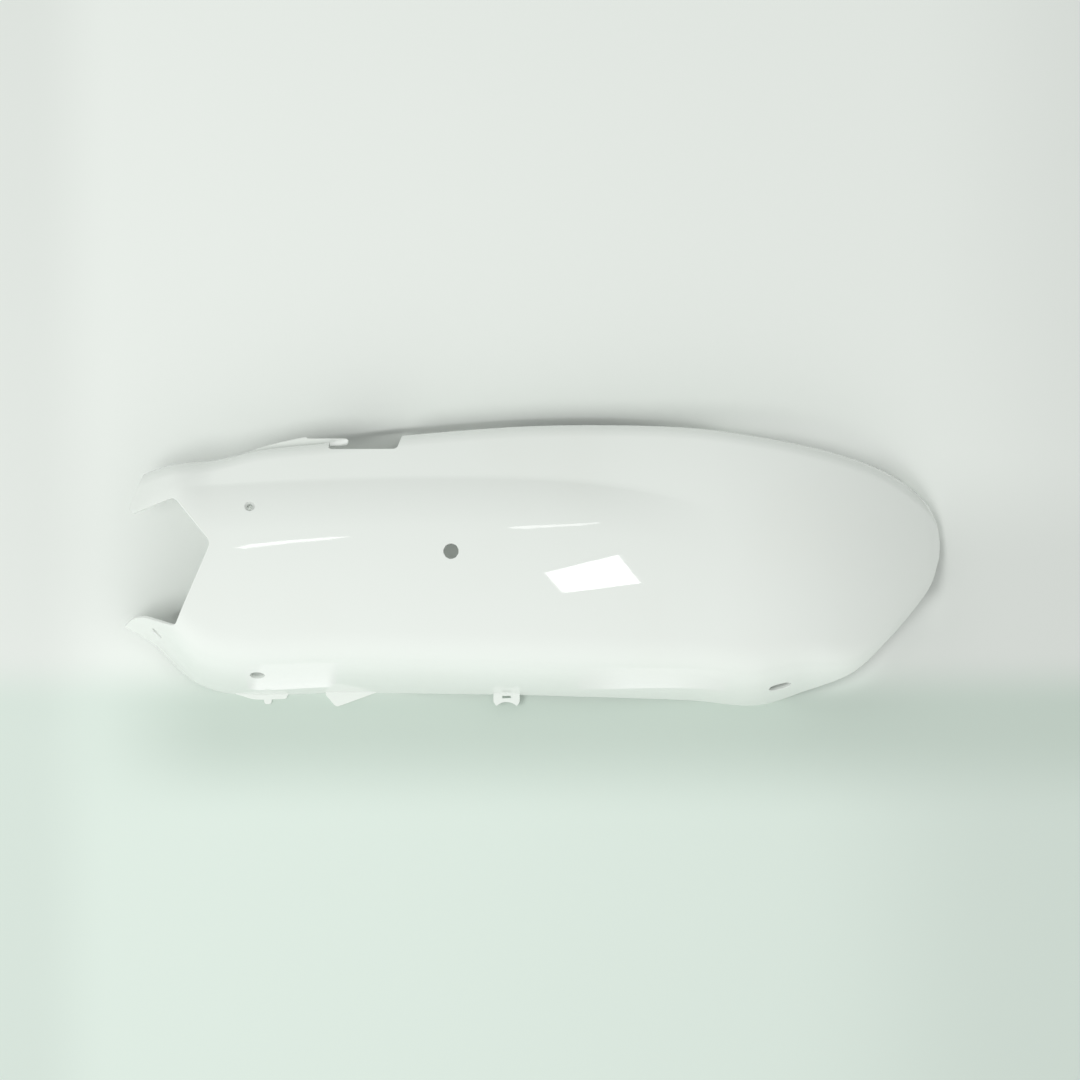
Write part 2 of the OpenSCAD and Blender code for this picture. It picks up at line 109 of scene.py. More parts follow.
class ShellForm:
    """The moulded face as one height function over a plan of paired edge points, in millimetres.

    Station u is the straight line between the lower and the seat edge at u, and q is the way along
    it from the lower edge. Height = crown(x, y) - drop (1 - q / roll)^3 - depth of the crease times
    b^2, where b goes from 0 to 1 over the shoulder. Row t counts along a section: lower roll,
    face, shoulder, upper band, arc of the seat edge, seat wall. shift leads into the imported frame.
    """

    edges = np.array([
        [-340, 70, -349, -46], [-300, 83.5, -316, -65], [-262, 88, -280, -98], [-222, 97, -237, -108.2],
        [-168, 102.6, -168, -106.2], [-90, 110.3, -90, -106.8], [-11, 116.2, -11, -107.8],
        [60, 117.4, 60, -109.8], [130, 115, 130, -112.4], [190, 107, 186, -116.6], [238, 97, 228, -103.5],
        [276, 85.5, 264, -88], [304.6, 72, 291, -63], [325, 56, 314, -38], [336, 38, 330.5, -16],
        [338.8, 22, 338, 6]], float)
    rows = (34, 26, 20, 10, 12, 8)
    tail_reach, tail_height, nose_reach, nose_height = 189, 9.1, 56, 46
    roll_width, shoulder_width, rim_lift, horn_lift = 57, 40, 7, 12
    seat_wall, seat_flare = 14, 0.9
    own_length, own_height = 0.6787, 0.234

    def __init__(self, sizes):
        self.kx, self.ky = sizes.length / self.own_length, sizes.height / self.own_height
        self.top, self.wall = sizes.crown_height * 1000, sizes.wall * 1000
        self.bow = sizes.face_radius * 1000
        self.seat_radius, self.crease_step = sizes.seat_radius * 1000, sizes.crease_step * 1000
        e = self.edges * [self.kx, self.ky, self.kx, self.ky]
        self.padded = np.vstack([2 * e[0] - e[1], e, 2 * e[-1] - e[-2]])
        self.last = len(e) - 1
        self.stops = np.cumsum((0,) + self.rows)
        self.nose, self.tail_start = -341 * self.kx, 339 * self.kx - self.tail_reach
        self.shift = np.array([0.54 * self.kx, 0, 0])

    def pair(self, u):
        """Seat and lower edge point at u: a cubic through four neighbouring pairs of the list."""
        i = np.clip(np.floor(u).astype(int), 0, self.last - 1)
        t = (u - i)[..., None]
        a, b, c, d = (self.padded[i + k] for k in range(4))
        return b + 0.5 * t * ((c - a) + t * (2 * a - 5 * b + 4 * c - d + t * (3 * (b - c) + d - a)))

    def crown(self, x, y):
        """Crown height less a power of the way into tail and nose, the horn's fold and the bow."""
        kx, ky, top = self.kx, self.ky, self.top
        fold = ((y - 69 * ky) * 44 - (x + 270 * kx) * 23) / 49.6
        tail = np.clip((x - self.tail_start) / self.tail_reach, 0, None)
        nose = np.clip((self.nose + self.nose_reach - x) / self.nose_reach, 0, None)
        return (top - (top - self.tail_height) * tail ** 2.4 - (top - self.nose_height) * nose ** 2.2
                - 0.3 * np.where(fold < 0, 0, np.where(fold < 10, fold**2 / 20, fold - 5))
                - (y + 25 * ky) ** 2 / (2 * self.bow))

    def rim_arch(self, x, first, length):
        """Lift of the rim from first over a length: a squared sine."""
        return self.rim_lift * np.sin(np.pi * np.clip((x / self.kx - first) / length, 0, 1)) ** 2

    def crease_line(self, x):
        """Y of the foot of the crease: level at x = -60, a power to the tail, a square to the nose."""
        a = x / self.kx + 60
        return (73 - np.where(a > 0, np.clip(a / 60.5, 0, None) ** 2.6, a * a / 6420)) * self.ky

    def station(self, u):
        """Lower edge point, way to the seat edge, width, scale near the ends, foot of the crease,
        width of the lower roll and its drop, all at u."""
        e = self.pair(u)
        seat, low = e[..., :2], e[..., 2:]
        w = np.linalg.norm(seat - low, axis=-1)
        d = (seat - low) / w[..., None]
        k = np.minimum(1, w / (110 * self.ky))
        x, y = low[..., 0], low[..., 1]
        line = self.crease_line(x + d[..., 0] * 0.8 * w)
        crease = np.maximum(0.68 * w, (line - y) / d[..., 1])
        cut = ease(196 * self.kx, 298 * self.kx, x)
        rim = self.rim_arch(x, -150, 330) + self.horn_lift * ease(-245, -335, x / self.kx)
        c = self.crown(x, y)
        drop = (c - rim) * (1 - cut) + np.minimum(3 * k, c - 1) * cut
        return low, d, w, k, crease, self.roll_width * (1 - 0.65 * cut) * k, drop

    def height_at(self, s, q):
        """Height of the face on station s. The foot of the crease is softened by averaging b^2
        over 2 mm across it."""
        low, d, _, k, crease, roll, drop = s
        x, y = along(low, d, q)
        shoulder = self.shoulder_width * k
        b2 = sum(np.clip((q + o * k - crease + shoulder) / shoulder, 0, 1) ** 2 for o in (-1, 0, 1)) / 3
        depth = self.crease_step * ease(-296 * self.kx, -262 * self.kx, x)
        depth = depth * (1 - ease(40 * self.kx, 165 * self.kx, x))
        return self.crown(x, y) - drop * np.clip(1 - q / roll, 0, None) ** 3 - depth * b2

    def outer(self, u, t):
        """Point of the outer face at station u and row t. Past the band, q = q0 + r sin a and the
        height drops by r (1 - cos a); the seat wall then runs straight down to its rim."""
        s = self.station(u)
        low, d, w, k, crease, roll, _ = s
        f = [np.clip((t - a) / n, 0, 1) for a, n in zip(self.stops, self.rows)]
        r = np.maximum(self.seat_radius * k, self.wall + 0.8)
        flare, arc = self.seat_flare * k, f[4] * np.pi / 2
        shoulder, start = crease - self.shoulder_width * k, w - r - flare
        q = (roll * f[0] ** 1.4 + (shoulder - roll) * f[1] + (crease - shoulder) * f[2]
             + (start - crease) * f[3] + r * np.sin(arc))
        end_x = along(low, d, w)[0]
        z1 = self.height_at(s, start + r) - r
        mid = ease(-240 * self.kx, -130 * self.kx, end_x) * (1 - ease(150 * self.kx, 290 * self.kx, end_x))
        foot = np.maximum(0.3, z1 - self.seat_wall * k) * (1 - mid) + self.rim_arch(end_x, -60, 200) * mid
        z = self.height_at(s, q) - r * (1 - np.cos(arc)) + (foot - z1) * f[5]
        return np.stack([*along(low, d, q + flare * f[5]), z], -1)

    def normal(self, u, t):
        """Outward unit normal: the cross product of the steps along u and t."""
        a, b = 0.01, 0.25
        lo, hi = np.clip(t - b, 0, self.stops[-1]), np.clip(t + b, 0, self.stops[-1])
        du = self.outer(np.clip(u + a, 0, self.last), t) - self.outer(np.clip(u - a, 0, self.last), t)
        return unit(np.cross(du, self.outer(u, hi) - self.outer(u, lo)))

    def even_stations(self, count):
        """Stations spaced evenly along the mean length of the two edges."""
        u = np.linspace(0, self.last, 4001)
        e = self.pair(u)
        step = sum(np.linalg.norm(np.diff(e[:, k:k + 2], axis=0), axis=1) for k in (0, 2))
        way = np.concatenate([[0], np.cumsum(step)])
        return np.interp(np.linspace(0, way[-1], count), way, u)

    def edge_y(self, x, side):
        """Y of the seat edge (side 0) or the lower edge (side 1) over plan positions x."""
        e = self.pair(np.linspace(0, self.last - 1, 3001))
        return np.interp(x, e[:, 2 * side], e[:, 2 * side + 1])

    def station_through(self, x, y):
        """Station whose line passes through a plan point, by halving the range 40 times."""
        a, b = np.zeros(np.shape(x)), np.full(np.shape(x), float(self.last))
        for _ in range(40):
            m = (a + b) / 2
            e = self.pair(m)
            d = e[..., :2] - e[..., 2:]
            left = d[..., 0] * (y - e[..., 3]) - d[..., 1] * (x - e[..., 2]) < 0
            a, b = np.where(left, m, a), np.where(left, b, m)
        return (a + b) / 2

    def face_over(self, x, y):
        """Height of the face above plan points."""
        s = self.station(self.station_through(x, y))
        q = (x - s[0][..., 0]) * s[1][..., 0] + (y - s[0][..., 1]) * s[1][..., 1]
        return self.height_at(s, q)

    def seat_on(self, x, y):
        """Centre on the face over a plan point, and three axes: steepest way, level way, normal."""
        x, y = x * self.kx, y * self.ky
        fx = self.face_over(x + 1, y) - self.face_over(x - 1, y)
        fy = self.face_over(x, y + 1) - self.face_over(x, y - 1)
        n = unit(np.array([-fx / 2, -fy / 2, 1.0]))
        level = unit(np.array([-n[1], n[0], 0.0]))
        return np.array([x, y, float(self.face_over(x, y))]), np.cross(level, n), level, n


def holes_of(form, sizes):
    """The five holes: centre and axes on the face, radius, half length of the straight part, depth
    of the boss and how far the boss stands round the hole."""
    middle, front, sink = (500 * d for d in (sizes.middle_bore, sizes.front_bore, sizes.screw_sink))
    return {
        "middle": (form.seat_on(-67, 12.5), middle, 0.0, 8.0, 4.0),
        "front": (form.seat_on(-227, -90.5), front, 0.0, 7.0, 4.0),
        "screw": (form.seat_on(-232, 49.5), sink, 0.0, 7.0, 2.3),
        "oval": (form.seat_on(204, -100), 6.3, 3.2, 6.0, 4.0),
        "horn": (form.seat_on(-310.5, -55.5), 3.5, 2.0, 0.0, 0.0),
    }


def vee_path(form, sizes):
    """Outline of the V between the horns, open to the front."""
    kx, ky, n = form.kx, form.ky, form.nose
    throat = sizes.vee_opening * 500 * ky
    return rounded([
        (n - 40, 110 * ky, 0), (n + 34 * kx, 110 * ky, 0), (n + 4 * kx, 41 * ky, 4),
        (n + 47 * kx, 4 * ky + throat, 5), (n + sizes.vee_depth * 1000 * kx, 20 * ky, 7),
        (n + 47.5 * kx, 4 * ky - throat, 4), (n + 13 * kx, 12 + 0.5 * ky - throat, 20),
        (n - 3 * kx, -1.5 * ky - throat, 0), (n - 40, -40 * ky - throat, 0)])


def notch_path(form, sizes):
    """Outline of the notch in the seat edge, its rear side leaning back."""
    x0 = -168 * form.kx
    x1 = x0 + sizes.notch_length * 1000
    floor = float(form.edge_y((x0 + x1) / 2, 0)) - sizes.notch_depth * 1000
    return rounded([(x0, floor + 40, 0), (x0, floor, 1), (x1 + 1, floor, 4), (x1 + 16, floor + 40, 0)])


# From a surface and a distance to a closed moulded wall

def trimmed(surface, us, ts, distance, edge):
    """Grid over a surface, kept where distance(point) >= edge.

    Grid points close to that line slide onto it inside the surface; other cells are cut where the
    distance, followed along their sides, is zero. Returns u, t and faces as rows of up to eight
    point numbers, in order and filled up with -1.
    """
    u, t = np.meshgrid(us, ts, indexing="ij")
    h, g = 1e-4, 1e-3
    p = surface(u, t)
    d = distance(p) - edge
    cell = np.minimum(*(np.linalg.norm(np.gradient(p, axis=k), axis=-1) for k in (0, 1)))
    near = np.abs(d) < 0.3 * cell
    near[0] = near[-1] = near[:, 0] = near[:, -1] = False
    mu, mt = u[near], t[near]
    for _ in range(4):
        ends = [surface(mu + i * h, mt + j * g) for i, j in ((1, 0), (-1, 0), (0, 1), (0, -1))]
        away = [distance(end) for end in ends]
        su, st = (ends[0] - ends[1]) / (2 * h), (ends[2] - ends[3]) / (2 * g)
        du, dt = (away[0] - away[1]) / (2 * h), (away[2] - away[3]) / (2 * g)
        a, b, c = (su * su).sum(-1), (su * st).sum(-1), (st * st).sum(-1)
        det = a * c - b * b
        gu, gt = (c * du - b * dt) / det, (a * dt - b * du) / det
        off = (distance(surface(mu, mt)) - edge) / np.maximum(du * gu + dt * gt, 1e-9)
        mu, mt = mu - off * gu, mt - off * gt
    good = np.abs(distance(surface(mu, mt)) - edge) < 1e-3
    good &= np.linalg.norm(surface(mu, mt) - p[near], axis=-1) < 0.45 * cell[near]
    spot = tuple(np.argwhere(near)[good].T)
    u[spot], t[spot], d[spot] = mu[good], mt[good], 0

    number = np.arange(u.size).reshape(u.shape)
    extra_u, extra_t, total = [], [], u.size

    def crossings(first, second):
        """Adds a point where each cut grid side crosses zero and returns their numbers."""
        nonlocal total
        d0, d1 = d[first], d[second]
        cut = d0 * d1 < 0
        u0, t0, u1, t1 = u[first][cut], t[first][cut], u[second][cut], t[second][cut]
        lo, hi, dl, dh = np.zeros(u0.shape), np.ones(u0.shape), d0[cut], d1[cut]
        for _ in range(5):
            m = np.clip(lo - dl * (hi - lo) / (dh - dl), lo, hi)
            dm = distance(surface(u0 + (u1 - u0) * m, t0 + (t1 - t0) * m)) - edge
            left = dm * dl > 0
            lo, dl = np.where(left, m, lo), np.where(left, dm, dl)
            hi, dh = np.where(left, hi, m), np.where(left, dh, dm)
        names, found = np.full(d0.shape, -1), int(cut.sum())
        names[cut] = total + np.arange(found)
        total += found
        extra_u.append(u0 + (u1 - u0) * m)
        extra_t.append(t0 + (t1 - t0) * m)
        return names

    along_u = crossings(np.s_[:-1, :], np.s_[1:, :])
    along_t = crossings(np.s_[:, :-1], np.s_[:, 1:])
    keep = np.where(d >= 0, number, -1)
    faces = np.stack([keep[:-1, :-1], along_u[:, :-1], keep[1:, :-1], along_t[1:, :],
                      keep[1:, 1:], along_u[:, 1:], keep[:-1, 1:], along_t[:-1, :]], -1).reshape(-1, 8)
    inside = np.stack([d[:-1, :-1], d[1:, :-1], d[1:, 1:], d[:-1, 1:]], -1).reshape(-1, 4).max(-1) > 0
    faces = faces[inside & ((faces >= 0).sum(1) >= 3)]
    faces = np.take_along_axis(faces, np.argsort(faces < 0, axis=1, kind="stable"), 1)
    return np.concatenate([u.ravel()] + extra_u), np.concatenate([t.ravel()] + extra_t), faces


def moulded(points, normals, faces, wall, edge, floor=None):
    """Closed wall from one skin: the inner skin is point - wall * normal, never below the floor, and
    along every open edge a band joins them. Its profile is a quarter round of radius edge at the
    outer skin, straight across, and a quarter round at the inner one. Returns points, normals,
    faces and 1 for the faces of the inner skin."""
    used, new = np.unique(faces[faces >= 0], return_inverse=True)
    points, normals, faces = points[used], normals[used], faces.copy()
    faces[faces >= 0] = new
    n, real = len(points), faces >= 0
    count, slot = real.sum(1)[:, None], np.arange(faces.shape[1])[None]
    follow = np.take_along_axis(faces, (slot + 1) % count, 1)
    a, b = faces[real], follow[real]
    outside = ~np.isin(a * n + b, b * n + a)
    a, b = a[outside], b[outside]
    if len(np.unique(a)) != len(a) or len(np.unique(b)) != len(b):
        raise ValueError("an open edge of the skin meets itself")
    after, before = np.zeros(n, int), np.zeros(n, int)
    after[a], before[b] = b, a
    rim = a
    nr = normals[rim]
    ahead, behind = unit(points[after[rim]] - points[rim]), unit(points[rim] - points[before[rim]])
    way = unit(np.cross(ahead, nr) + np.cross(behind, nr))
    inner = points - wall * normals
    if floor is not None:
        inner[:, 2] = np.maximum(inner[:, 2], floor)
    depth = (inner[rim] - points[rim]) / wall
    bands, slants = [], []
    for skin, sign, angles in ((points, 1, (30, 60, 90)), (inner, -1, (90, 60, 30))):
        for angle in np.radians(angles):
            c, s = math.cos(angle), math.sin(angle)
            bands.append(skin[rim] + way * edge * s + sign * depth * edge * (1 - c))
            slants.append(way * s + sign * nr * c)
    place, size = np.zeros(n, int), len(rim)
    place[rim] = np.arange(size)
    start = n + len(bands) * size
    rows = [rim] + [n + k * size + np.arange(size) for k in range(len(bands))] + [start + rim]
    ia, ib = place[a], place[b]
    quads = [np.stack([top[ib], top[ia], low[ia], low[ib]], 1) for top, low in zip(rows[:-1], rows[1:])]
    band = np.full((sum(map(len, quads)), faces.shape[1]), -1)
    band[:, :4] = np.concatenate(quads)
    turned = np.take_along_axis(faces, np.where(real, count - 1 - slot, 0), 1)
    back = np.where(real, turned + start, -1)
    everything = np.concatenate([points] + bands + [inner])
    if floor is not None:
        everything[:, 2] = np.maximum(everything[:, 2], floor)
    side = np.repeat([0, 0, 1], [len(faces), len(band), len(back)])
    return (everything, np.concatenate([normals] + slants + [-normals]),
            np.concatenate([faces, band, back]), side)


def joined(parts):
    """Several moulded walls as one set of points, normals, faces and sides."""
    start, faces = 0, []
    for points, _, f, _ in parts:
        faces.append(np.where(f >= 0, f + start, -1))
        start += len(points)
    wide = max(f.shape[1] for f in faces)
    faces = [np.pad(f, ((0, 0), (0, wide - f.shape[1])), constant_values=-1) for f in faces]
    return (np.concatenate([p[0] for p in parts]), np.concatenate([p[1] for p in parts]),
            np.concatenate(faces), np.concatenate([p[3] for p in parts]))


def plate(path, thick, cell, edge, holes=()):
    """Flat tab with rounded edges: a level grid at height thick, kept inside the outline and outside
    each hole outline, with its underside at 0."""
    lo, hi = path.min(0) - 1.5 * cell, path.max(0) + 1.5 * cell
    us, ts = (np.arange(lo[i], hi[i] + cell, cell) for i in (0, 1))

    def level(u, t):
        return np.stack([u, t, np.full(np.shape(u), float(thick))], -1)

    def room(p):
        d = -outline_distance(p, path)
        for hole in holes:
            d = np.minimum(d, outline_distance(p, hole))
        return d

    u, t, faces = trimmed(level, us, ts, room, edge)
    up = np.broadcast_to([0.0, 0.0, 1.0], (len(u), 3))
    return moulded(level(u, t), up, faces, thick, edge)


def moved(part, offset, axes=None):
    """The same wall turned to three axes and shifted, in millimetres."""
    points, normals, faces, side = part
    if axes is not None:
        points, normals = points @ axes, normals @ axes
    return points + offset, normals, faces, side


def collar(hole, profile, count=72):
    """Ring round a hole: a closed profile of (way out from the hole, depth) carried round its
    outline, a circle of radius r pulled apart by the half length of the hole."""
    (centre, steep, level, n), r, half = hole[:3]
    a = (np.arange(count) + 0.5) * 2 * np.pi / count
    out, deep = np.array(profile, float).T
    c, s = np.cos(a)[:, None], np.sin(a)[:, None]
    reach = r + out
    points = (centre + steep * (reach * c)[..., None] + level * (half * np.sign(s) + reach * s)[..., None]
              - n * np.broadcast_to(deep, (count, len(out)))[..., None])
    turn = unit(np.roll(profile, -1, 0) - np.roll(profile, 1, 0))
    radial, axial = -turn[:, 1], -turn[:, 0]
    normals = unit((steep * c[..., None] + level * s[..., None]) * radial[:, None] + n * axial[:, None])
    i, j = np.meshgrid(np.arange(count), np.arange(len(out)), indexing="ij")
    at = i * len(out) + j
    right, below = np.roll(at, -1, 0), np.roll(at, -1, 1)
    faces = np.stack([at, below, np.roll(below, -1, 0), right], -1).reshape(-1, 4)
    return points.reshape(-1, 3), normals.reshape(-1, 3), faces, np.zeros(len(faces), int)


def put_mesh(name, part, form, hidden=False):
    """Writes a wall into a mesh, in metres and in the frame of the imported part. A hidden piece has
    the look of the mould side, and its normals come from its faces."""
    points, normals, faces, side = part
    mesh = bpy.data.meshes.new(name)
    real = faces >= 0
    count = real.sum(1)
    mesh.vertices.add(len(points))
    mesh.vertices.foreach_set("co", ((points + form.shift) * 0.001).astype(np.float32).ravel())
    mesh.loops.add(int(count.sum()))
    mesh.loops.foreach_set("vertex_index", faces[real].astype(np.int32))
    mesh.polygons.add(len(faces))
    starts = np.concatenate([[0], np.cumsum(count)[:-1]])
    for key, values in (("loop_start", starts.astype(np.int32)), ("material_index", side.astype(np.int32)),
                        ("use_smooth", np.ones(len(faces), bool))):
        mesh.polygons.foreach_set(key, values)
    for material in both_sides(bpy.context.scene.side_panel_looks)[int(hidden):]:
        mesh.materials.append(material)
    mesh.update(calc_edges=True)
    if mesh.validate():
        raise ValueError(f"{name}: the mesh isn't sound")
    if hidden:
        mesh.set_sharp_from_angle(angle=math.radians(35))
    else:
        mesh.normals_split_custom_set_from_vertices(normals.astype(np.float32))
    piece = bpy.data.objects.new(name, mesh)
    bpy.context.scene.collection.objects.link(piece)
    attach(piece, "root")
    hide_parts(NODE)


# Finish

def feed(tree, value, slot):
    """Puts a number or a colour on a socket, or links another node's output to it."""
    if isinstance(value, bpy.types.NodeSocket):
        tree.links.new(value, slot)
    else:
        slot.default_value = (*value, 1) if isinstance(value, tuple) else value


def math_node(tree, kind, *values, clamp=False):
    """Output of a Math node over one to three numbers or outputs."""
    m = tree.nodes.new("ShaderNodeMath")
    m.operation, m.use_clamp = kind, clamp
    for value, slot in zip(values, m.inputs):
        feed(tree, value, slot)
    return m.outputs["Value"]


def smooth_range(tree, value, a, b):
    """Goes smoothly from 0 to 1 while value goes from a to b."""
    m = tree.nodes.new("ShaderNodeMapRange")
    m.interpolation_type = "SMOOTHSTEP"
    for key, x in (("Value", value), ("From Min", a), ("From Max", b)):
        feed(tree, x, m.inputs[key])
    return m.outputs["Result"]


def mixed(tree, factor, a, b, kind="MIX"):
    """Output of a Mix node over two colours."""
    m = tree.nodes.new("ShaderNodeMix")
    m.data_type, m.blend_type = "RGBA", kind
    for value, slot in ((factor, m.inputs["Factor"]), (a, m.inputs[6]), (b, m.inputs[7])):
        feed(tree, value, slot)
    return m.outputs[2]


def noise(tree, vector, scale, detail):
    """Value of a Noise node over a vector output."""
    n = tree.nodes.new("ShaderNodeTexNoise")
    for key, value in (("Vector", vector), ("Scale", scale), ("Detail", detail)):
        feed(tree, value, n.inputs[key])
    return n.outputs["Fac"]


def coordinate_axes(tree, output):
    """X, Y and Z of a texture coordinate."""
    part = tree.nodes.new("ShaderNodeSeparateXYZ")
    tree.links.new(tree.nodes.new("ShaderNodeTexCoord").outputs[output], part.inputs["Vector"])
    return part.outputs


def new_material(name):
    """New material, its node tree and its Principled shader."""
    m = bpy.data.materials.new(name)
    m.use_nodes = True
    return m, m.node_tree, m.node_tree.nodes["Principled BSDF"]


def socket(group, name, way, kind, default=None, low=None, high=None):
    """One named input or output of a node group."""
    s = group.interface.new_socket(name=name, in_out=way, socket_type=kind)
    if default is not None:
        s.default_value = default
    if low is not None:
        s.min_value, s.max_value = low, high


def moulding_group():
    """Surface of glossy moulded plastic, built once: long flow marks and fine peel as a height,
    dust that lies in patches, and hairline rubbing that only dulls the gloss."""
    name = "moulded_plastic"
    if name in bpy.data.node_groups:
        return bpy.data.node_groups[name]
    g = bpy.data.node_groups.new(name, "ShaderNodeTree")
    socket(g, "Colour", "INPUT", "NodeSocketColor", (0.8, 0.8, 0.8, 1))
    for key, default, low, high in (("Gloss roughness", 0.02, 0, 1), ("Dust", 0.3, 0, 1),
                                    ("Rubbing", 0.3, 0, 1), ("Peel scale", 260, 10, 3000)):
        socket(g, key, "INPUT", "NodeSocketFloat", default, low, high)
    for key, kind in (("Colour", "NodeSocketColor"), ("Roughness", "NodeSocketFloat"),
                      ("Height", "NodeSocketFloat")):
        socket(g, key, "OUTPUT", kind)
    put, link = g.nodes.new, g.links.new
    inp, out = put("NodeGroupInput"), put("NodeGroupOutput")
    coords = put("ShaderNodeTexCoord").outputs["Object"]

    def marks(vector, scale, detail, low, high):
        """0 where the noise is below low and 1 where it is above high."""
        return smooth_range(g, noise(g, vector, scale, detail), low, high)

    def sums(kind, *values):
        return math_node(g, kind, *values)

    patches, specks = marks(coords, 9, 4, 0.45, 0.72), marks(coords, 900, 1, 0.68, 0.76)
    share = sums("MULTIPLY_ADD", patches, 0.55, sums("MULTIPLY", specks, 0.45))
    dust = sums("MULTIPLY", inp.outputs["Dust"], share)
    drawn = put("ShaderNodeMapping")
    drawn.inputs["Rotation"].default_value = (0, 0, 0.35)
    drawn.inputs["Scale"].default_value = (14, 700, 300)
    link(coords, drawn.inputs["Vector"])
    hairs = sums("MULTIPLY", inp.outputs["Rubbing"], marks(drawn.outputs["Vector"], 1, 2, 0.62, 0.7))
    rubbed = sums("MULTIPLY", hairs, marks(coords, 14, 2, 0.45, 0.6))
    link(mixed(g, dust, inp.outputs["Colour"], (0.955, 0.95, 0.93), "MULTIPLY"), out.inputs["Colour"])
    rough = sums("MULTIPLY_ADD", dust, 0.05, inp.outputs["Gloss roughness"])
    link(sums("MULTIPLY_ADD", rubbed, 0.05, rough), out.inputs["Roughness"])
    peel = sums("MULTIPLY", noise(g, coords, inp.outputs["Peel scale"], 1), 0.006)
    flow = sums("MULTIPLY", noise(g, coords, 12, 0), 0.5)
    link(sums("ADD", peel, flow), out.inputs["Height"])
    return g


def plastic(name, colour, roughness, dust, rubbing, peel, depth):
    """Moulded white plastic: the shared surface group feeds colour, roughness and a bump."""
    if name in bpy.data.materials:
        return bpy.data.materials[name]
    m, tree, shader = new_material(name)
    shader.inputs["IOR"].default_value = 1.5
    group, bump, link = tree.nodes.new("ShaderNodeGroup"), tree.nodes.new("ShaderNodeBump"), tree.links.new
    group.node_tree = moulding_group()
    for key, value in (("Colour", (*colour, 1)), ("Gloss roughness", roughness), ("Dust", dust),
                       ("Rubbing", rubbing), ("Peel scale", peel)):
        group.inputs[key].default_value = value
    bump.inputs["Strength"].default_value = 1
    bump.inputs["Distance"].default_value = depth
    link(group.outputs["Colour"], shader.inputs["Base Color"])
    link(group.outputs["Roughness"], shader.inputs["Roughness"])
    link(group.outputs["Height"], bump.inputs["Height"])
    link(bump.outputs["Normal"], shader.inputs["Normal"])
    return m


def both_sides(looks):
    """Gloss of the show side, and the duller mould side whose colour is 0.82 of the white: partly the plain
    tone of the unpainted inner face, partly painted shade that darkens the holes and the notch.
    """
    return (plastic("show_side", looks.white, looks.gloss, looks.dust, 0.4, 260, 3e-5),
            # painted shade: the 0.82 darkening of the mould side partly stands in for shade in the holes and
            # the notch
            plastic("mould_side_and_painted_shade", [c * 0.82 for c in looks.white], 0.34, looks.dust, 0.2, 700, 6e-5))


# Sizes and looks a user would change

def length_property(name, description, default):
    return FloatProperty(name=name, description=description, default=default, min=0, unit="LENGTH")


def share_property(name, description, default):
    return FloatProperty(name=name, description=description, default=default, min=0, max=1)


def amount_property(name, description, default):
    return FloatProperty(name=name, description=description, default=default, min=0)


def colour_property(name, description, *default):
    return FloatVectorProperty(name=name, description=description, default=default, subtype="COLOR",
                               size=3, min=0, max=1)


class SidePanelSizes(bpy.types.PropertyGroup):
    length: length_property("Length", "Outline from nose to tail", HIGHEST.x - LOWEST.x)
    height: length_property("Height", "Outline from lower edge to seat edge", 0.234)
    crown_height: length_property("Crown height", "Highest point of the face above the floor", HIGHEST.z)
    wall: length_property("Wall", "Thickness of the moulding", 0.0028)
    face_radius: length_property("Face radius", "Bow of the face across its height", 0.42)
    seat_radius: length_property("Seat edge radius", "Round of the seat edge", 0.01)
    crease_step: length_property("Crease step", "Drop from the shoulder to the upper band", 0.008)
    edge_round: length_property("Edge round", "Round along every cut edge", 0.0005)
    vee_depth: length_property("V depth", "Apex of the V behind the horn tips", 0.077)
    vee_opening: length_property("V opening", "Opening of the V between its throats", 0.106)
    notch_length: length_property("Notch length", "Notch in the seat edge along its floor", 0.055)
    notch_depth: length_property("Notch depth", "Notch below the seat edge", 0.0085)
    middle_bore: length_property("Middle bore", "Fixing hole in the middle of the face", 0.0126)
    front_bore: length_property("Lower front bore", "Fixing hole on the lower roll", 0.0126)
    screw_sink: length_property("Screw countersink", "Countersink of the small screw hole", 0.0086)
    columns: IntProperty(name="Columns", description="Grid lines along the length", default=336,
                         min=60, max=400)


class SidePanelLooks(bpy.types.PropertyGroup):
    white: colour_property("White", "Colour of the plastic", 0.865, 0.90, 0.865)
    gloss: share_property("Gloss roughness", "Roughness of the show side", 0.02)
    dust: share_property("Dust", "Fine dust in patches", 0.35)


class SidePanelStage(bpy.types.PropertyGroup):
    floor_back: colour_property("Floor, back", "Floor behind the seat edge", 0.90, 0.935, 0.90)
    # painted shadow: the floor colour close to the lower edge is darker where the panel's broad shadow falls
    floor_painted_shadow: colour_property("Floor, near", "Floor close to the lower edge", 0.62, 0.71, 0.645)
    floor_front: colour_property("Floor, front", "Floor far before the lower edge", 0.79, 0.885, 0.82)
    # painted shade: this share darkens the floor beyond the tail and past the nose, where the light falls off
    floor_painted_falloff: share_property("Floor falloff", "Share of the floor's tone kept beyond the tail", 0.87)
    sky: amount_property("Room light", "Even light from all round", 0.61)
    sky_front: amount_property("Light from the lower side", "Added light from -Y", 0.5)
    sky_right: amount_property("Shade from the tail side", "Light taken away from +X", 0.16)
    key: amount_property("Key lamp", "Power of the soft key lamp in watts", 9.5)
    under: amount_property("Under lamp", "Light that the thin wall lets through, in watts", 0.022)
    edge_light: amount_property("Light at the tail", "Brightness of the cards over the floor by the tail", 1)
    flag: length_property("Flag width", "Dark card over the floor along the seat edge", 0.0038)
    glint: amount_property("Small lamps", "Brightness of the cards that mirror in the face", 12)
    card: amount_property("Floor cards", "Brightness of the cards that mirror in the lower roll", 1.4)
    lens: FloatProperty(name="Lens", description="Focal length in millimetres", default=180, min=20)
    frame_width: length_property("Frame width", "Width that the camera sees at the face", 0.8964)


# Operators, one for each group of pieces

